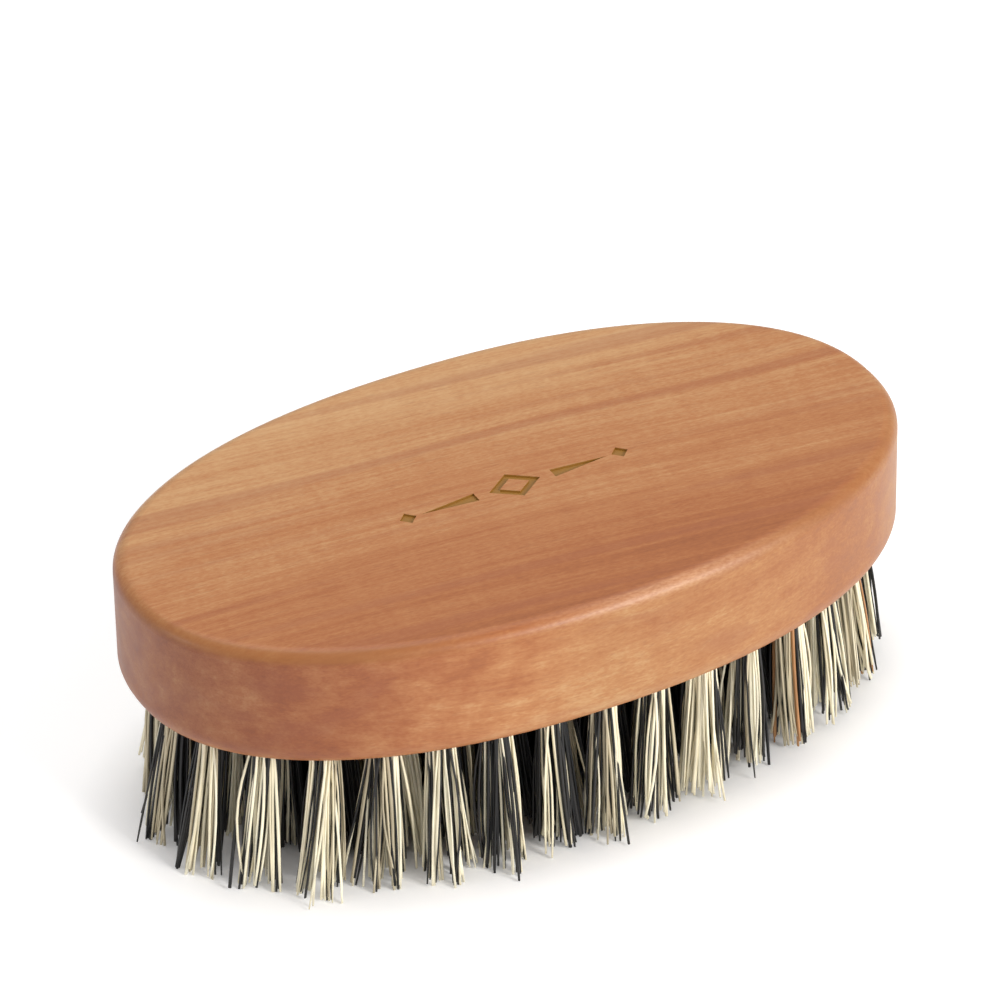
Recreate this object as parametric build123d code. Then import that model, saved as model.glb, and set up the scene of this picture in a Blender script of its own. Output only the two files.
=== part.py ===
from build123d import *
import math
import os

# Beard brush: an oval wooden back with tufts of fibre, each folded over a flat steel anchor wire
# that is driven into a blind hole. Millimetres and degrees. The brush stands on its tufts: the
# origin is at the middle of the plane of their cut tips, +X along the oval, +Z up to the wooden back.

# ---- The oval wooden back ----
LENGTH = 90.0
WIDTH = 50.7
WOOD_THICKNESS = 14.9
OVAL_POWER = 2.19  # 2 is an ellipse; a little more fills out its shoulders
TOP_EDGE_RADIUS = 1.6
BOTTOM_EDGE_RADIUS = 3.0
OUTLINE_POINTS = 48

# ---- The tufts' layout: concentric ovals, tilted outwards more towards the edge ----
BRISTLE_LENGTH = 17.0  # from the underside of the wood to the longest cut tips
RING_NAMES = ("outer_ring", "second_ring", "third_ring", "centre_ring")
RING_COUNTS = (32, 27, 21, 14)
RING_SPLAYS = (5.0, 4.0, 3.0, 1.5)
RING_PHASES = (0.0, 0.5, 0.0, 0.5)  # in steps, so that each ring is staggered beside the next
OUTER_INSET_LONG = 4.9  # from the oval's edge to the outer ring, along X
OUTER_INSET_SHORT = 5.0  # and along Y
RING_STEP_LONG = 5.9  # from ring to ring, along X
RING_STEP_SHORT = 5.65  # and along Y
SEPARATE_RINGS = ("outer_ring", "centre_ring")  # each tuft is a node of its own

# ---- One tuft in its hole ----
HOLE_RADIUS = 1.65
HOLE_DEPTH = 8.5  # to the shoulder of the drill point
DRILL_POINT_ANGLE = 118.0
TUFT_ROOT_RADIUS = 1.62
TUFT_TIP_RADIUS = 2.5
FOLD_ROUNDING = 0.75
FOLD_CLEARANCE = 0.2  # between the fold and the shoulder of the drill point
FLARE_START = 0.3  # below the mouth, so that a tilted tuft clears the mouth's edge

# ---- One anchor: a short length of flat wire, on edge, across the hole ----
ANCHOR_LENGTH = 3.9
ANCHOR_THICKNESS = 0.35
ANCHOR_HEIGHT = 1.8
ANCHOR_BELOW_FOLD = 0.9  # fibre that passes over the wire
ANCHOR_DIRECTION = 40.0  # from the grain, so that a row of anchors doesn't split the wood
ANCHOR_FIT = 0.02  # between the wire and what it lies in, on every side

# ---- Engraved ornament in the middle of the top face ----
ENGRAVING_DEPTH = 0.25
ORNAMENT_CENTRE = (0.0, -1.0)
LOZENGE_HALF_LENGTH = 3.1
LOZENGE_HALF_WIDTH = 2.3
LOZENGE_STROKE = 1.0
BAR_START = 4.6
BAR_END = 11.3
BAR_HALF_WIDTH = 0.75
END_LOZENGE_X = 12.8
END_LOZENGE_HALF = 1.0

WOOD_BOTTOM = BRISTLE_LENGTH
WOOD_TOP = BRISTLE_LENGTH + WOOD_THICKNESS


def oval_points(half_length, half_width, count, phase=0.0, fine=3600):
    """Points at even distances along an oval, from its front middle (-Y) towards +X."""
    corner = 2.0 / OVAL_POWER
    trace = []
    for step in range(fine + 1):
        turn = 2.0 * math.pi * step / fine
        across, along = math.sin(turn), -math.cos(turn)
        x = half_length * math.copysign(abs(across) ** corner, across)
        y = half_width * math.copysign(abs(along) ** corner, along)
        trace.append((x, y))
    travelled = [0.0]
    for before, after in zip(trace, trace[1:]):
        travelled.append(travelled[-1] + math.dist(before, after))
    points = []
    segment = 0
    for index in range(count):
        target = travelled[-1] * (index + phase) / count
        while travelled[segment + 1] < target:
            segment += 1
        share = (target - travelled[segment]) / (travelled[segment + 1] - travelled[segment])
        (x0, y0), (x1, y1) = trace[segment], trace[segment + 1]
        points.append((x0 + share * (x1 - x0), y0 + share * (y1 - y0)))
    return points


def outward(point, half_length, half_width):
    """Unit direction square to an oval at one of its points."""
    x, y = point
    slope_x = math.copysign(abs(x / half_length) ** (OVAL_POWER - 1.0), x) / half_length
    slope_y = math.copysign(abs(y / half_width) ** (OVAL_POWER - 1.0), y) / half_width
    size = math.hypot(slope_x, slope_y)
    return slope_x / size, slope_y / size


def ring_planes(ring):
    """One plane for each tuft of a ring: its origin at the hole's mouth, its +Z up the hole."""
    half_length = LENGTH / 2 - OUTER_INSET_LONG - ring * RING_STEP_LONG
    half_width = WIDTH / 2 - OUTER_INSET_SHORT - ring * RING_STEP_SHORT
    lean = math.sin(math.radians(RING_SPLAYS[ring]))
    rise = math.cos(math.radians(RING_SPLAYS[ring]))
    anchor_turn = math.radians(ANCHOR_DIRECTION)
    wire_direction = (math.cos(anchor_turn), math.sin(anchor_turn), 0.0)
    planes = []
    for point in oval_points(half_length, half_width, RING_COUNTS[ring], RING_PHASES[ring]):
        out_x, out_y = outward(point, half_length, half_width)
        mouth = (point[0], point[1], WOOD_BOTTOM)
        up_the_hole = (-lean * out_x, -lean * out_y, rise)
        planes.append(Plane(origin=mouth, x_dir=wire_direction, z_dir=up_the_hole))
    return planes


def anchor_block(clearance=0.0):
    """The anchor wire in its tuft's own plane, or the slot for it."""
    fold_top = HOLE_DEPTH - FOLD_CLEARANCE
    middle = fold_top - ANCHOR_BELOW_FOLD - ANCHOR_HEIGHT / 2
    wire = Box(
        ANCHOR_LENGTH + 2 * clearance,
        ANCHOR_THICKNESS + 2 * clearance,
        ANCHOR_HEIGHT + 2 * clearance,
    )
    return Pos(0, 0, middle) * wire


def hole_cutter():
    """A blind hole with its drill point, and the slot that the anchor's ends cut in its walls."""
    point_height = HOLE_RADIUS / math.tan(math.radians(DRILL_POINT_ANGLE / 2))
    start = -1.0
    profile = Polyline(
        (0, start),
        (HOLE_RADIUS, start),
        (HOLE_RADIUS, HOLE_DEPTH),
        (0, HOLE_DEPTH + point_height),
        close=True,
    )
    drill = revolve(Plane.XZ * make_face(profile), Axis.Z)
    return drill + anchor_block(ANCHOR_FIT)


def lozenge(half_length, half_width):
    """A flat diamond about the origin."""
    corners = ((half_length, 0), (0, half_width), (-half_length, 0), (0, -half_width))
    return Polygon(*corners, align=None)


def ornament():
    """An open lozenge between two tapering bars that each end in a small lozenge."""
    outer = lozenge(LOZENGE_HALF_LENGTH, LOZENGE_HALF_WIDTH)
    shapes = outer - scale(outer, 1 - LOZENGE_STROKE / LOZENGE_HALF_WIDTH)
    bar = Polygon((BAR_START, -BAR_HALF_WIDTH), (BAR_END, 0), (BAR_START, BAR_HALF_WIDTH), align=None)
    flank = bar + Pos(END_LOZENGE_X, 0) * lozenge(END_LOZENGE_HALF, END_LOZENGE_HALF)
    return shapes + flank + Rot(0, 0, 180) * flank


def wood_body(all_planes):
    """The oval block with rounded edges, the tuft holes in its underside and its ornament."""
    outline = Spline(*oval_points(LENGTH / 2, WIDTH / 2, OUTLINE_POINTS), periodic=True)
    block = Pos(0, 0, WOOD_BOTTOM) * extrude(make_face(outline), WOOD_THICKNESS)
    block = fillet(block.edges().group_by(Axis.Z)[-1], TOP_EDGE_RADIUS)
    block = fillet(block.edges().group_by(Axis.Z)[0], BOTTOM_EDGE_RADIUS)
    cutter = hole_cutter()
    block -= [plane * cutter for plane in all_planes]
    engraving = extrude(ornament(), ENGRAVING_DEPTH)
    engraving_place = Pos(ORNAMENT_CENTRE[0], ORNAMENT_CENTRE[1], WOOD_TOP - ENGRAVING_DEPTH)
    return block - engraving_place * engraving


def upright_tuft():
    """A bundle of fibre in its own plane: a round fold, a root in the hole and a flared brush."""
    fold_top = HOLE_DEPTH - FOLD_CLEARANCE
    reach = BRISTLE_LENGTH / math.cos(math.radians(max(RING_SPLAYS))) + TUFT_TIP_RADIUS / 2
    profile = Polyline(
        (0, -reach),
        (TUFT_TIP_RADIUS, -reach),
        (TUFT_ROOT_RADIUS, -FLARE_START),
        (TUFT_ROOT_RADIUS, fold_top),
        (0, fold_top),
        close=True,
    )
    bundle = revolve(Plane.XZ * make_face(profile), Axis.Z)
    bundle = fillet(bundle.edges().group_by(Axis.Z)[-1], FOLD_ROUNDING)
    return bundle - anchor_block(ANCHOR_FIT)


def trimmed(tuft):
    """The tuft with its tips cut level with the plane that the brush stands on."""
    below = Pos(0, 0, -BRISTLE_LENGTH / 2) * Box(2 * LENGTH, 2 * WIDTH, BRISTLE_LENGTH)
    return tuft - below


def write_node(name, solids):
    """One STEP file with one solid or a group of separate solids."""
    shape = solids[0] if len(solids) == 1 else Compound(children=solids)
    export_step(shape, f"parts/{name}.step")


def main():
    os.makedirs("parts", exist_ok=True)
    planes = [ring_planes(ring) for ring in range(len(RING_NAMES))]
    write_node("wood_body", [wood_body([plane for ring in planes for plane in ring]).solid()])
    tuft = upright_tuft()
    wire = anchor_block()
    for name, ring in zip(RING_NAMES, planes):
        tufts = [trimmed(plane * tuft).solid() for plane in ring]
        if name in SEPARATE_RINGS:
            for number, solid in enumerate(tufts, start=1):
                write_node(f"tuft_{name}_{number:02d}", [solid])
        else:
            write_node(f"tufts_{name}", tufts)
        write_node(f"anchor_wires_{name}", [(plane * wire).solid() for plane in ring])


main()
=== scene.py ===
import math
import bmesh
import bpy
import numpy as np
from mathutils import Matrix, Vector


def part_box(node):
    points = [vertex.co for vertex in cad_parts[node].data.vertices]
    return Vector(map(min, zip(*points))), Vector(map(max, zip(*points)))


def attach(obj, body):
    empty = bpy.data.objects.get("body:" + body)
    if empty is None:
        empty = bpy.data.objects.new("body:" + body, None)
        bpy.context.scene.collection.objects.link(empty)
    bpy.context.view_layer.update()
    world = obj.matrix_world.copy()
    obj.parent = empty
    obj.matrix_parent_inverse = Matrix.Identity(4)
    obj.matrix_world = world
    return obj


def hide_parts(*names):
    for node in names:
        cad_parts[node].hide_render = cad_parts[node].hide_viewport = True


# Looks of an oval beard brush: an oiled pearwood back over tufts of mixed dark and cream plant fibre.
# Metres, in the CAD frame: +X along the oval, +Z up, the longest fibre tips on z = 0.

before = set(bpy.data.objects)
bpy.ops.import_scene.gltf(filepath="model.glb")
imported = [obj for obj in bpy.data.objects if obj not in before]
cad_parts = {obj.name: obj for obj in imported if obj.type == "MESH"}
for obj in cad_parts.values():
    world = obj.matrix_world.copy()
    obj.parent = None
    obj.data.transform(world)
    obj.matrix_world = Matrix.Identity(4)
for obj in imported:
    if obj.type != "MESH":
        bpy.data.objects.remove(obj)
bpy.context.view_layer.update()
MM = 0.001
wood_low, wood_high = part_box("wood_body")
HALF_LENGTH = (wood_high.x - wood_low.x) / 2
HALF_WIDTH = (wood_high.y - wood_low.y) / 2

# ---- Camera, in half lengths of the oval from the middle of its top face ----
CAMERA_AZIMUTH = -27.45  # degrees, as are the next two
CAMERA_ELEVATION = 34.51
CAMERA_ROLL = -1.09
CAMERA_DISTANCE = 16.39
CAMERA_SIDEWAYS = 0.024
CAMERA_UPWARDS = 0.047
SENSOR_WIDTH = 36.0
FOCAL_LENGTH = 248.4

# ---- Studio: each light's place and size in metres, its power in watts and its colour ----
LIGHTS = {
    "key": ((0.42, -0.9, 0.52), 0.45, 9.5, (1.0, 0.98, 0.95)),
    "overhead": ((0.1, 0.25, 0.9), 0.7, 3.0, (1.0, 1.0, 1.0)),
    "left_rim": ((-0.8, 0.1, 0.25), 0.25, 0.8, (0.95, 0.95, 1.0)),
}
LIGHTS_AIM = (0, 0, 0.02)
WORLD_STRENGTH = 0.48
FLOOR_REACH = 4.0
FLOOR_GREY = 0.8
FLOOR_GLOW = 0.4

# ---- Wood ----
GRAIN_TURN = 6.0  # degrees from the grain to the oval's long axis
# The layers of the grain: cells to the metre along it, across it and down, and their detail.
GRAIN_LAYERS = {
    "broad": ((9, 75, 75), 2.0),
    "streaks": ((13, 420, 420), 3.0),
    "veins": ((9, 330, 330), 1.0),
    "lines": ((45, 2000, 2000), 2.0),
    "figure": ((650, 170, 170), 2.0),
    "speckle": ((1600, 5000, 5000), 1.0),
    "pores": ((450, 6000, 6000), 0.0),
}
TONE_WEIGHTS = {"broad": 0.5, "streaks": 0.36, "lines": 0.34, "figure": 0.14, "speckle": 0.3}
USUAL_TONE = 0.54
WOOD_TONES = [
    (0.05, (0.29, 0.084, 0.024)),
    (0.3, (0.385, 0.126, 0.036)),
    (0.5, (0.46, 0.186, 0.064)),
    (0.72, (0.555, 0.292, 0.125)),
    (0.95, (0.64, 0.39, 0.19)),
]
VEIN_COLOUR = (0.33, 0.10, 0.04)
PORE_COLOUR = (0.2, 0.06, 0.025)
LEFT_END_PAINTED_SHADE = (0.61, 0.50, 0.46)  # painted shade: what the side's colour is multiplied by towards its left end, darker where less light falls
RIGHT_TINT = (0.90, 1.0, 1.03)  # and from its middle to the right
# Painted highlight: the paler colour along the front of the rounded top edge, where the lamps shine on it.
EDGE_PAINTED_HIGHLIGHT = (0.68, 0.40, 0.23)
# Painted shade: the darker colour towards both ends of the rounded top edge.
EDGE_PAINTED_SHADE = (0.30, 0.12, 0.035)
ENGRAVED_COLOUR = (0.30, 0.14, 0.02)
WOOD_ROUGHNESS = 0.46
ORNAMENT_CENTRE_Y = -1.0 * MM
ORNAMENT_HALF_LENGTH = 14.5 * MM
ORNAMENT_HALF_WIDTH = 3.0 * MM

# ---- Fibre colours, from dull to bright: the last cream one is brown ----
DARK_TONES = [
    (0.0, (0.008, 0.008, 0.009)),
    (0.6, (0.018, 0.018, 0.019)),
    (1.0, (0.036, 0.034, 0.032)),
]
CREAM_TONES = [
    (0.0, (0.44, 0.38, 0.26)),
    (0.35, (0.68, 0.60, 0.42)),
    (0.55, (0.90, 0.82, 0.60)),
    (0.93, (0.95, 0.90, 0.71)),
    (0.97, (0.48, 0.24, 0.10)),
]
DARK_REACH = 0.9  # how far along the dark tones a dark fibre may be
BRIGHT_RANGE = (0.5, 0.9)  # along the cream tones, for a cream band
DULL_RANGE = (0.0, 0.35)  # and for a greyish one
BROWN_TONE = 1.0
BROWN_SHARE = 0.25  # of the fibres of a brown band: the others are cream
CREAM_BESIDE_BROWN = 0.6
BAND_BLUR = 0.03  # of a tuft's width

# ---- Fibre: every hole holds folded fibres, a leg of each on both sides of the anchor wire ----
# By ring: how much wider than its hole a tuft is at its tips, and what its bands are drawn from.
RINGS = {
    "outer_ring": (1.92, "dddddcccg"),
    # The second, third and centre rings hold more dark bands than the outer ring: painted shade, the shadow
    # inside the brush drawn as darker fibres.
    "second_ring": (2.3, "dddddddccg"),
    "third_ring": (2.4, "dddddddccg"),
    "centre_ring": (2.4, "dddddddccg"),
}
FIRST_SEED = 1001
BANDS_DRAWN = 8
SAME_AGAIN = 0.4  # the chance that a band repeats the one before it
ROOT_RADIUS = 1.62 * MM
WIRE_HALF_THICKNESS = 0.175 * MM
WIRE_HALF_HEIGHT = 0.9 * MM
FOLD_HEIGHT = 0.55  # of a fold over its wire, to its half width
FIBRE_RADIUS = 0.153 * MM
FIBRE_PITCH = 0.3 * MM
FIBRE_SIDES = 6
WIDE_RANGE = (0.85, 1.35)  # a fibre's two half widths, in fibre radii
THIN_RANGE = (0.65, 0.95)
TIP_TAPER = (0.65, 1.0)
EXPOSED_STEPS = 7
SPREAD_POWER = 1.15  # 1 spreads evenly from the hole's mouth to the tips
CLUMPS = 7
CLUMP_REACH = 0.9  # of the root's radius, to the middles of the outermost clumps
CLUMP_TIGHTNESS = 0.62
CLUMP_LEAN = 0.35 * MM
CLUMP_SCATTER = 0.12 * MM
TIP_JITTER = 0.2 * MM
FIBRE_BOW = 0.2 * MM
BENT_SHARE = 0.1
BENT_FACTOR = 3
STRAY_SHARE = 0.1
STRAY_REACH = 0.9 * MM
LEAN_VARIATION = 0.3 * MM
USUAL_TRIM = 0.9 * MM  # from the plane of the longest tips up to a usual one
TUFT_TRIM_VARIATION = 0.25 * MM
FIBRE_TRIM_VARIATION = 0.5 * MM
LEAST_TRIM = 0.05 * MM
ORDER_OFFSET = 0.05  # radians to the left of the front middle, where the order of a ring's wires starts

# The outer tufts towards the front, by number: their fibres from left to right as seen from outside
# (d dark, c cream, g greyish cream, b brown), their lean at the tips to the right and outwards, and
# how far their tips are trimmed above the longest ones, in millimetres.
CHOSEN_TUFTS = {
    24: ("gdgdg", 0.0, -0.5, 0.8),
    25: ("dcddggd", -0.2, 0.6, 0.3),
    26: ("ddgcddd", -0.6, 0.9, 0.3),
    27: ("bccccdcd", -0.7, 0.9, 0.3),
    28: ("dcddccdg", -1.0, 0.9, 0.3),
    29: ("gcddgdccd", -0.6, 0.3, 0.4),
    30: ("dddcdccd", -0.1, 0.3, 0.4),
    31: ("dgdcddcc", -0.5, 0.6, 0.3),
    32: ("gccdcddd", 0.2, 0.0, 0.7),
    1: ("ddgdccc", -0.9, 0.3, 0.4),
    2: ("ddcdcddg", -0.9, 0.0, 1.0),
    3: ("dccccdc", -0.8, -0.4, 1.3),
    4: ("ddgccddd", -0.5, -0.6, 1.5),
    5: ("ggbddccc", 0.1, 0.0, 1.1),
    6: ("ccdccdd", 0.4, 0.0, 1.2),
    7: ("gcbdd", 0.5, -0.3, 1.3),
    8: ("ccddd", 0.0, -0.5, 1.5),
}


def make_camera():
    azimuth, elevation, roll = map(math.radians, (CAMERA_AZIMUTH, CAMERA_ELEVATION, CAMERA_ROLL))
    back = Vector((
        math.sin(azimuth) * math.cos(elevation),
        -math.cos(azimuth) * math.cos(elevation),
        math.sin(elevation),
    ))
    right = Vector((0, 0, 1)).cross(back).normalized()
    up = back.cross(right)
    level_right = math.cos(roll) * right + math.sin(roll) * up
    level_up = math.cos(roll) * up - math.sin(roll) * right
    offset = CAMERA_DISTANCE * back - CAMERA_SIDEWAYS * level_right - CAMERA_UPWARDS * level_up
    data = bpy.data.cameras.new("camera")
    data.lens = FOCAL_LENGTH
    data.sensor_width = SENSOR_WIDTH
    camera = bpy.data.objects.new("camera", data)
    bpy.context.scene.collection.objects.link(camera)
    turned = Matrix((level_right, level_up, back)).transposed().to_4x4()
    turned.translation = Vector((0, 0, wood_high.z)) + HALF_LENGTH * offset
    camera.matrix_world = turned
    bpy.context.scene.camera = camera


def area_light(name, place, size, power, colour):
    data = bpy.data.lights.new(name, "AREA")
    data.shape = "DISK"
    data.size = size
    data.energy = power
    data.color = colour
    light = bpy.data.objects.new(name, data)
    bpy.context.scene.collection.objects.link(light)
    light.location = place
    light.rotation_mode = "QUATERNION"
    light.rotation_quaternion = (Vector(LIGHTS_AIM) - Vector(place)).to_track_quat("-Z", "Y")


def make_studio():
    world = bpy.data.worlds.new("studio")
    world.use_nodes = True
    background = world.node_tree.nodes["Background"]
    background.inputs["Color"].default_value = (1, 1, 1, 1)
    background.inputs["Strength"].default_value = WORLD_STRENGTH
    bpy.context.scene.world = world
    bpy.context.scene.view_settings.view_transform = "Standard"
    for name, settings in LIGHTS.items():
        area_light(name, *settings)


def make_floor():
    mesh = bpy.data.meshes.new("floor")
    corners = [(x * FLOOR_REACH, y * FLOOR_REACH, 0) for x, y in ((-1, -1), (1, -1), (1, 1), (-1, 1))]
    mesh.from_pydata(corners, [], [(0, 1, 2, 3)])
    mesh.materials.append(floor_material())
    floor = bpy.data.objects.new("floor", mesh)
    bpy.context.scene.collection.objects.link(floor)


def floor_material():
    """A pale table, lit a little from within around the brush so that its shadow stays soft."""
    n = Nodes("floor")
    oval = n.stretched(n.place(), (1 / HALF_LENGTH, 1 / HALF_WIDTH, 1))
    distance = n.add("ShaderNodeVectorMath", {0: oval}, operation="LENGTH").outputs["Value"]
    n.link(n.rescale(distance, 0.75, 1.15, 0.0, FLOOR_GLOW), n.shader.inputs["Emission Strength"])
    n.shader.inputs["Emission Color"].default_value = (1, 1, 1, 1)
    n.shader.inputs["Base Color"].default_value = (FLOOR_GREY, FLOOR_GREY, FLOOR_GREY, 1)
    n.shader.inputs["Roughness"].default_value = 0.9
    n.shader.inputs["Specular IOR Level"].default_value = 0.0
    return n.material


class Nodes:
    """A material's node tree, with short ways to add nodes and join them."""

    def __init__(self, name):
        self.material = bpy.data.materials.new(name)
        self.material.use_nodes = True
        self.tree = self.material.node_tree
        self.shader = self.tree.nodes["Principled BSDF"]

    def link(self, source, target):
        self.tree.links.new(source, target)

    def add(self, kind, inputs=(), **settings):
        node = self.tree.nodes.new(kind)
        for name, value in settings.items():
            setattr(node, name, value)
        for key, value in dict(inputs).items():
            if isinstance(value, bpy.types.NodeSocket):
                self.link(value, node.inputs[key])
            else:
                node.inputs[key].default_value = value
        return node

    def place(self):
        return self.add("ShaderNodeTexCoord").outputs["Object"]

    def split(self, vector):
        return self.add("ShaderNodeSeparateXYZ", {"Vector": vector}).outputs

    def maths(self, operation, first, second=0.0):
        return self.add("ShaderNodeMath", {0: first, 1: second}, operation=operation).outputs[0]

    def product(self, value, *factors):
        for factor in factors:
            value = self.maths("MULTIPLY", value, factor)
        return value

    def between(self, value, low, high):
        """1 where the value lies between two limits, else 0."""
        return self.product(self.maths("GREATER_THAN", value, low), self.maths("LESS_THAN", value, high))

    def rescale(self, value, low, high, to_low=0.0, to_high=1.0):
        inputs = {"Value": value, "From Min": low, "From Max": high, "To Min": to_low, "To Max": to_high}
        return self.add("ShaderNodeMapRange", inputs).outputs[0]

    def weighted(self, terms, start=0.0):
        """A start value plus each term's value, centred on a half, times its weight."""
        total = start
        for value, weight in terms:
            centred = self.maths("SUBTRACT", value, 0.5)
            total = self.maths("ADD", self.product(centred, weight), total)
        return total

    def ramp(self, factor, stops):
        node = self.add("ShaderNodeValToRGB", {"Fac": factor})
        elements = node.color_ramp.elements
        while len(elements) < len(stops):
            elements.new(0.5)
        for element, (position, colour) in zip(elements, stops):
            element.position = position
            element.color = (*colour, 1)
        return node.outputs["Color"]

    def mix(self, factor, first, second, blend="MIX"):
        node = self.add("ShaderNodeMix", data_type="RGBA", blend_type=blend)
        for key, value in ((0, factor), (6, first), (7, second)):
            if isinstance(value, bpy.types.NodeSocket):
                self.link(value, node.inputs[key])
            else:
                node.inputs[key].default_value = (*value, 1) if key else value
        return node.outputs[2]

    def stretched(self, vector, scales):
        return self.add("ShaderNodeMapping", {"Vector": vector, "Scale": scales}).outputs["Vector"]

    def noise(self, vector, cells, detail):
        """Noise with so many cells to the metre along X, Y and Z."""
        inputs = {"Vector": self.stretched(vector, cells), "Scale": 1.0, "Detail": detail}
        return self.add("ShaderNodeTexNoise", inputs).outputs["Fac"]

    def bump(self, height, strength, distance):
        inputs = {"Height": height, "Strength": strength, "Distance": distance}
        self.link(self.add("ShaderNodeBump", inputs).outputs["Normal"], self.shader.inputs["Normal"])


def ornament_mask(n, parts):
    """1 on the floor and walls of the engraved ornament."""
    sunk = n.between(parts["Z"], wood_high.z - 0.6 * MM, wood_high.z - 0.06 * MM)
    along = n.between(parts["X"], -ORNAMENT_HALF_LENGTH, ORNAMENT_HALF_LENGTH)
    low_y, high_y = ORNAMENT_CENTRE_Y - ORNAMENT_HALF_WIDTH, ORNAMENT_CENTRE_Y + ORNAMENT_HALF_WIDTH
    return n.product(sunk, along, n.between(parts["Y"], low_y, high_y))


def painted_edge_light(n, colour, parts, upright, speckle):
    """The rounded top edge: a painted highlight, paler along the front, and painted shade, darker towards
    its ends.
    """
    rounded = n.product(n.rescale(upright, 0.1, 0.45), n.rescale(upright, 0.995, 0.9))
    in_front = n.rescale(parts["Y"], 6 * MM, -8 * MM)
    near_middle = n.product(
        n.rescale(parts["X"], -12 * MM, 4 * MM),
        n.rescale(parts["X"], 30 * MM, 10 * MM, 0.1, 1.0),
    )
    left_end = n.rescale(parts["X"], -14 * MM, -28 * MM)
    right_end = n.rescale(parts["X"], 8 * MM, 20 * MM, 0.0, 0.7)
    uneven = n.rescale(speckle, 0.3, 0.7, 0.25, 0.5)
    # Painted highlight on the front of the rounded edge, broken up by the speckle.
    colour = n.mix(n.product(near_middle, in_front, uneven, rounded), colour, EDGE_PAINTED_HIGHLIGHT)
    # Painted shade on the rounded edge towards its left and right ends.
    edge_painted_shade = n.product(n.maths("ADD", left_end, right_end), in_front, 0.6, rounded)
    return n.mix(edge_painted_shade, colour, EDGE_PAINTED_SHADE)


def along_grain(n, place):
    """Coordinates that follow the grain: along X, a few degrees off, and wandering a little."""
    turn = (0, 0, math.radians(GRAIN_TURN))
    turned = n.add("ShaderNodeMapping", {"Vector": place, "Rotation": turn}).outputs["Vector"]
    wander = n.noise(turned, (14, 40, 40), 1.0)
    shift = {"Y": n.product(wander, 5 * MM), "Z": n.product(wander, 4 * MM)}
    shifted = n.add("ShaderNodeCombineXYZ", shift).outputs[0]
    return n.add("ShaderNodeVectorMath", {0: turned, 1: shifted}, operation="ADD").outputs[0]


def wood_tone(n, layers, flecks, parts, side):
    """How light the wood is: its grain, paler towards the back, painted light and shade along the side, and
    a mottled left half of the side.
    """
    towards_back = n.product(parts["Y"], 0.25 / HALF_WIDTH)
    # Painted light and shade on the side: lighter at its front middle, darker towards its left end and
    # towards the right; the last term keeps the side from growing paler towards the back.
    side_painted_shading = n.rescale(parts["X"], -35 * MM, -5 * MM, -0.05, 0.2)
    side_painted_shading = n.maths("SUBTRACT", side_painted_shading, n.rescale(parts["X"], 2 * MM, 28 * MM, 0.0, 0.22))
    side_painted_shading = n.maths("SUBTRACT", side_painted_shading, n.rescale(parts["Y"], -8 * MM, 20 * MM, 0.0, 0.32))
    start = n.maths("ADD", n.maths("ADD", towards_back, USUAL_TONE), n.product(side, side_painted_shading))
    tone = n.weighted([(layers[name], weight) for name, weight in TONE_WEIGHTS.items()], start)
    mottling = n.product(side, n.rescale(parts["X"], 4 * MM, -16 * MM, 0.12, 0.75))
    return n.maths("ADD", tone, n.product(n.maths("SUBTRACT", flecks, 0.5), mottling))


def wood_material():
    """Oiled pearwood. Side is 1 on the upright side and 0 on the flat top and underside."""
    n = Nodes("oiled_pearwood")
    place = n.place()
    parts = n.split(place)
    upright = n.split(n.add("ShaderNodeNewGeometry").outputs["Normal"])["Z"]
    side = n.rescale(n.maths("ABSOLUTE", upright), 0.85, 0.3)
    grain = along_grain(n, place)
    layers = {name: n.noise(grain, cells, detail) for name, (cells, detail) in GRAIN_LAYERS.items()}
    flecks = n.noise(place, (270, 330, 450), 3.0)
    colour = n.ramp(wood_tone(n, layers, flecks, parts, side), WOOD_TONES)
    colour = n.mix(n.rescale(layers["veins"], 0.56, 0.68, 0.0, 0.35), colour, VEIN_COLOUR)
    colour = n.mix(n.rescale(layers["pores"], 0.66, 0.74, 0.0, 0.14), colour, PORE_COLOUR)
    # Painted shade: the side is darkened and greyed towards its left end.
    left_end_painted_shade_mask = n.product(n.rescale(parts["X"], -12 * MM, -38 * MM), side)
    colour = n.mix(left_end_painted_shade_mask, colour, LEFT_END_PAINTED_SHADE, "MULTIPLY")
    right_side = n.product(n.rescale(parts["X"], -22 * MM, -2 * MM), side)
    colour = n.mix(right_side, colour, RIGHT_TINT, "MULTIPLY")
    colour = painted_edge_light(n, colour, parts, upright, layers["speckle"])
    colour = n.mix(ornament_mask(n, parts), colour, ENGRAVED_COLOUR)
    n.link(colour, n.shader.inputs["Base Color"])
    roughness = n.weighted([(layers["streaks"], 0.2), (layers["lines"], 0.15)], WOOD_ROUGHNESS)
    n.link(roughness, n.shader.inputs["Roughness"])
    n.shader.inputs["Specular IOR Level"].default_value = 0.4
    n.shader.inputs["Coat Weight"].default_value = 0.12
    n.shader.inputs["Coat Roughness"].default_value = 0.3
    n.bump(n.weighted([(layers["lines"], 0.6), (layers["figure"], 0.4)]), 0.25, 0.05 * MM)
    return n.material


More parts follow.
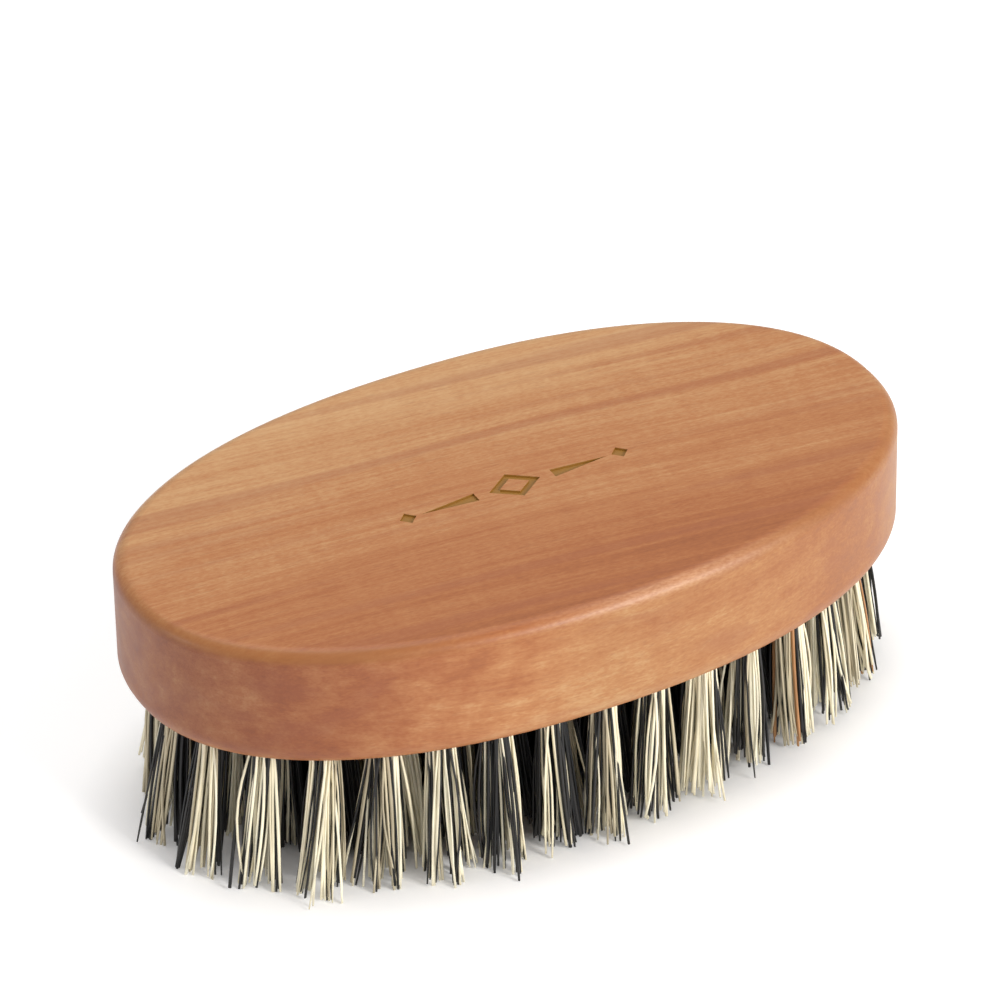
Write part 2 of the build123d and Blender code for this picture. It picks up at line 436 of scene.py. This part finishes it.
def fibre_material(name, tones, roughness):
    """Plant fibre: a tone of its own for each fibre, which varies a little along it."""
    n = Nodes(name)
    place = n.place()
    tone = n.add("ShaderNodeAttribute", attribute_name="fibre_tone").outputs["Fac"]
    along = n.noise(place, (900, 900, 160), 2.0)
    shading = {0: n.ramp(tone, tones), "Scale": n.rescale(along, 0.3, 0.7, 0.82, 1.08)}
    shaded = n.add("ShaderNodeVectorMath", shading, operation="SCALE").outputs[0]
    n.link(shaded, n.shader.inputs["Base Color"])
    n.link(n.rescale(along, 0.3, 0.7, roughness - 0.08, roughness + 0.1), n.shader.inputs["Roughness"])
    n.shader.inputs["Specular IOR Level"].default_value = 0.35
    n.bump(n.noise(place, (9000, 9000, 300), 1.0), 0.2, 0.02 * MM)
    return n.material


def steel_material():
    """Drawn flat wire, with fine lines along its length."""
    n = Nodes("drawn_steel")
    lines = n.noise(n.place(), (300, 300, 12000), 2.0)
    colour = n.ramp(lines, [(0.3, (0.42, 0.42, 0.43)), (0.7, (0.62, 0.62, 0.64))])
    n.link(colour, n.shader.inputs["Base Color"])
    n.link(n.rescale(lines, 0.3, 0.7, 0.28, 0.45), n.shader.inputs["Roughness"])
    n.shader.inputs["Metallic"].default_value = 1.0
    n.bump(lines, 0.15, 0.01 * MM)
    return n.material


def angle_from_front(wire):
    """How far round its ring a wire is, from just left of the front middle towards +X."""
    middle = wire[0]
    return (math.atan2(middle.x, -middle.y) + ORDER_OFFSET) % (2 * math.pi)


def wire_frames(node):
    """Middle, length direction and height direction of each anchor wire in a CAD node, in ring order."""
    cleaned = bmesh.new()
    cleaned.from_mesh(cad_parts[node].data)
    bmesh.ops.remove_doubles(cleaned, verts=cleaned.verts, dist=1e-6)
    unseen = set(cleaned.verts)
    found = []
    for start in cleaned.verts:
        if start not in unseen:
            continue
        unseen.remove(start)
        island, edge_of_search = [], [start]
        while edge_of_search:
            vertex = edge_of_search.pop()
            island.append(vertex.co.copy())
            for edge in vertex.link_edges:
                other = edge.other_vert(vertex)
                if other in unseen:
                    unseen.remove(other)
                    edge_of_search.append(other)
        middle = sum(island, Vector()) / len(island)
        by_distance = sorted(island, key=lambda corner: (corner - island[0]).length)
        height = (by_distance[2] - island[0]).normalized()
        length = (by_distance[4] - island[0]).normalized()
        height = height if height.z > 0 else -height
        length = length if length.x > 0 else -length
        found.append((middle, length, height))
    cleaned.free()
    return sorted(found, key=angle_from_front)


def packed_places():
    """Places of the folded fibres in half of a hole: (along the wire, away from it)."""
    places = []
    reach = ROOT_RADIUS - FIBRE_RADIUS
    away = WIRE_HALF_THICKNESS + FIBRE_RADIUS
    while away < reach:
        half_span = math.sqrt(reach**2 - away**2)
        count = int(2 * half_span / FIBRE_PITCH) + 1
        places += [(along, away) for along in np.linspace(-half_span, half_span, count)]
        away += FIBRE_PITCH * math.sin(math.radians(60))
    return np.array(places)


def clumped_tips(rng, roots, spread):
    """Where the legs of a tuft end, seen along it: spread out, and drawn together in clumps."""
    turn = rng.uniform(0, 2 * math.pi) + np.arange(CLUMPS) * math.pi * (3 - math.sqrt(5))
    distance = ROOT_RADIUS * CLUMP_REACH * np.sqrt((np.arange(CLUMPS) + 0.5) / CLUMPS)
    centres = np.column_stack((np.cos(turn), np.sin(turn))) * distance[:, None]
    centres += rng.normal(0, CLUMP_SCATTER, centres.shape)
    nearest = np.linalg.norm(roots[:, None] - centres[None], axis=2).argmin(axis=1)
    centre = centres[nearest]
    leans = rng.normal(0, CLUMP_LEAN, centres.shape)[nearest]
    tips = spread * (centre + (roots - centre) * (1 - CLUMP_TIGHTNESS)) + leans
    return tips + rng.normal(0, TIP_JITTER, tips.shape)


def draw_bands(rng, mixture):
    """A random order of dark and cream bands across a tuft, in small runs."""
    bands = rng.choice(list(mixture))
    while len(bands) < BANDS_DRAWN:
        bands += bands[-1] if rng.random() < SAME_AGAIN else rng.choice(list(mixture))
    return bands


def fibre_colours(rng, bands, outer_places):
    """For each folded fibre: is it cream, and its tone from dull to bright."""
    share = (outer_places / ROOT_RADIUS + 1) / 2 + rng.normal(0, BAND_BLUR, len(outer_places))
    picked = np.array(list(bands))[np.clip(share * len(bands), 0, len(bands) - 1).astype(int)]
    bright = rng.uniform(*BRIGHT_RANGE, len(picked))
    dull = rng.uniform(*DULL_RANGE, len(picked))
    tones = np.where(picked == "g", dull, bright)
    brown, dark = picked == "b", picked == "d"
    tones[brown] = np.where(rng.random(brown.sum()) < BROWN_SHARE, BROWN_TONE, CREAM_BESIDE_BROWN)
    tones[dark] = rng.random(dark.sum()) * DARK_REACH
    return ~dark, tones


class Hole:
    """A tuft's hole: its mouth, its anchor wire, and its own right, outer and down directions."""

    def __init__(self, middle, length, height):
        self.wire_direction = np.array(length)
        self.down = -height
        across = length.cross(self.down).normalized()
        outward = Vector((self.down.x, self.down.y, 0)).normalized()
        self.right = Vector((-outward.y, outward.x, 0))
        self.outer = (outward - self.down * outward.dot(self.down)).normalized()
        to_mouth = (wood_low.z - middle.z) / self.down.z
        self.mouth = middle + self.down * to_mouth
        self.top_of_wire = -to_mouth - WIRE_HALF_HEIGHT
        rows = [(length.dot(direction), across.dot(direction)) for direction in (self.right, self.outer)]
        self.from_wire = np.array(rows).T

    def in_model(self, local):
        return np.array(self.mouth) + local @ np.array((self.right, self.outer, self.down))


def fibre_legs(rng, hole, root, spread, lean, trim):
    """One leg of each folded fibre, from its tip to its wire, in the hole's directions."""
    count = len(root)
    tip = clumped_tips(rng, root, spread) + lean
    stray = rng.random(count) < STRAY_SHARE
    tip[stray] += rng.normal(0, STRAY_REACH, (stray.sum(), 2))
    bow = rng.normal(0, FIBRE_BOW, root.shape)
    bow *= np.where(rng.random(count) < BENT_SHARE, BENT_FACTOR, 1)[:, None]
    cut = np.maximum(trim + rng.normal(0, FIBRE_TRIM_VARIATION, count), LEAST_TRIM)
    cut[stray] = rng.uniform(LEAST_TRIM, 0.8 * trim + LEAST_TRIM, stray.sum())
    depth = (hole.mouth.z + hole.outer.z * tip[:, 1] - cut) / -hole.down.z
    steps = []
    for share in np.linspace(1, 0, EXPOSED_STEPS + 1):
        lateral = root + (tip - root) * share**SPREAD_POWER + bow * math.sin(math.pi * share)
        steps.append(np.column_stack((lateral, depth * share)))
    for level in (hole.top_of_wire / 2, hole.top_of_wire + 0.1 * MM):
        steps.append(np.column_stack((root, np.full(count, level))))
    return np.stack(steps, axis=1)


def fibre_folds(hole, places):
    """The bend of each folded fibre over the wire, in the hole's directions."""
    steps = []
    for swing in map(math.radians, (45, 90, 135)):
        level = hole.top_of_wire - math.sin(swing) * places[:, 1] * FOLD_HEIGHT
        steps.append(np.column_stack(((places * (1, math.cos(swing))) @ hole.from_wire, level)))
    return np.stack(steps, axis=1)


def fibre_paths(rng, hole, spread, lean, trim):
    """Centre lines of a tuft's folded fibres, from tip to tip, and where each one's outer leg starts."""
    places = packed_places()
    near, far = (
        fibre_legs(rng, hole, (places * (1, side)) @ hole.from_wire, spread, lean, trim) for side in (1, -1)
    )
    local = np.concatenate((near, fibre_folds(hole, places), far[:, ::-1]), axis=1)
    at_mouth = local[:, [EXPOSED_STEPS, -1 - EXPOSED_STEPS]]
    outer_leg = at_mouth[:, :, 1].argmax(axis=1)
    return hole.in_model(local), at_mouth[np.arange(len(at_mouth)), outer_leg, 0]


def tubes(paths, binormal, rng):
    """Vertices and faces of one slightly flattened tube along each path."""
    fibres, steps, _ = paths.shape
    tangent = np.gradient(paths, axis=1)
    tangent /= np.linalg.norm(tangent, axis=2, keepdims=True)
    side = binormal - tangent * (tangent @ binormal)[..., None]
    side /= np.linalg.norm(side, axis=2, keepdims=True)
    other = np.cross(tangent, side)
    taper = np.ones((fibres, steps, 1, 1))
    taper[:, [0, -1], 0, 0] = rng.uniform(*TIP_TAPER, (fibres, 2))
    wide = FIBRE_RADIUS * rng.uniform(*WIDE_RANGE, fibres)[:, None, None, None] * taper
    thin = FIBRE_RADIUS * rng.uniform(*THIN_RANGE, fibres)[:, None, None, None] * taper
    twist = rng.uniform(0, math.pi, fibres)[:, None, None]
    first = np.cos(twist) * side + np.sin(twist) * other
    second = np.cos(twist) * other - np.sin(twist) * side
    corners = np.arange(FIBRE_SIDES) * 2 * math.pi / FIBRE_SIDES
    ring = (
        wide * np.cos(corners)[:, None] * first[:, :, None]
        + thin * np.sin(corners)[:, None] * second[:, :, None]
    )
    vertices = (paths[:, :, None] + ring).reshape(-1, 3)
    start = np.arange(fibres)[:, None, None] * steps * FIBRE_SIDES
    along = np.arange(steps - 1)[None, :, None] * FIBRE_SIDES
    here = np.arange(FIBRE_SIDES)[None, None]
    after = (here + 1) % FIBRE_SIDES
    corners_of_quads = (
        start + along + here,
        start + along + after,
        start + along + FIBRE_SIDES + after,
        start + along + FIBRE_SIDES + here,
    )
    quads = np.stack(corners_of_quads, axis=-1).reshape(-1, 4)
    first_caps = (start + here[..., ::-1]).reshape(-1, FIBRE_SIDES)
    last_caps = (start + (steps - 1) * FIBRE_SIDES + here).reshape(-1, FIBRE_SIDES)
    return vertices, quads.tolist() + first_caps.tolist() + last_caps.tolist()


def fibre_piece(name, paths, binormal, tones, material, rng, node):
    vertices, faces = tubes(paths, binormal, rng)
    mesh = bpy.data.meshes.new(name)
    mesh.from_pydata(vertices.tolist(), [], faces)
    mesh.shade_smooth()
    tone = mesh.attributes.new("fibre_tone", "FLOAT", "POINT")
    tone.data.foreach_set("value", np.repeat(tones, paths.shape[1] * FIBRE_SIDES).astype(np.float32))
    mesh.materials.append(material)
    piece = bpy.data.objects.new(name, mesh)
    bpy.context.scene.collection.objects.link(piece)
    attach(piece, "root")
    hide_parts(node)


def tuft_node(ring, place, middle):
    """The CAD node that a tuft belongs to, and the start of the names of its pieces."""
    single = [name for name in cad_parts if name.startswith(f"tuft_{ring}")]
    if single:
        node = min(single, key=lambda name: (sum(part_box(name), Vector()) / 2 - middle).xy.length)
        return node, node
    return f"tufts_{ring}", f"tufts_{ring}_{place:02d}"


def tuft_style(rng, ring, node):
    """A tuft's bands of colour, its lean at the tips and its trim: drawn, or listed one by one in
    CHOSEN_TUFTS.
    """
    bands = draw_bands(rng, RINGS[ring][1])
    lean = rng.normal(0, LEAN_VARIATION, 2)
    trim = USUAL_TRIM + rng.normal(0, TUFT_TRIM_VARIATION)
    if ring == "outer_ring" and int(node[-2:]) in CHOSEN_TUFTS:
        bands, lean_right, lean_out, height_above = CHOSEN_TUFTS[int(node[-2:])]
        lean, trim = np.array((lean_right, lean_out)) * MM, height_above * MM
    return bands, lean, trim


def make_tuft(rng, ring, place, wire, dark, cream):
    """The dark fibres and the cream ones of one tuft, as two pieces."""
    node, label = tuft_node(ring, place, wire[0])
    bands, lean, trim = tuft_style(rng, ring, node)
    hole = Hole(*wire)
    paths, outer_places = fibre_paths(rng, hole, RINGS[ring][0], lean, trim)
    is_cream, tones = fibre_colours(rng, bands, outer_places)
    for word, chosen, material in (("dark", ~is_cream, dark), ("cream", is_cream, cream)):
        if chosen.any():
            name = f"{label}_{word}"
            fibre_piece(name, paths[chosen], hole.wire_direction, tones[chosen], material, rng, node)


def make_tufts():
    dark = fibre_material("dark_fibre", DARK_TONES, 0.42)
    cream = fibre_material("cream_fibre", CREAM_TONES, 0.45)
    seed = FIRST_SEED
    for ring in RINGS:
        for place, wire in enumerate(wire_frames(f"anchor_wires_{ring}"), start=1):
            make_tuft(np.random.default_rng(seed), ring, place, wire, dark, cream)
            seed += 1


def set_material(node, material):
    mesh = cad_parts[node].data
    mesh.materials.clear()
    mesh.materials.append(material)


make_camera()
make_studio()
make_floor()
set_material("wood_body", wood_material())
steel = steel_material()
for ring in RINGS:
    set_material(f"anchor_wires_{ring}", steel)
make_tufts()
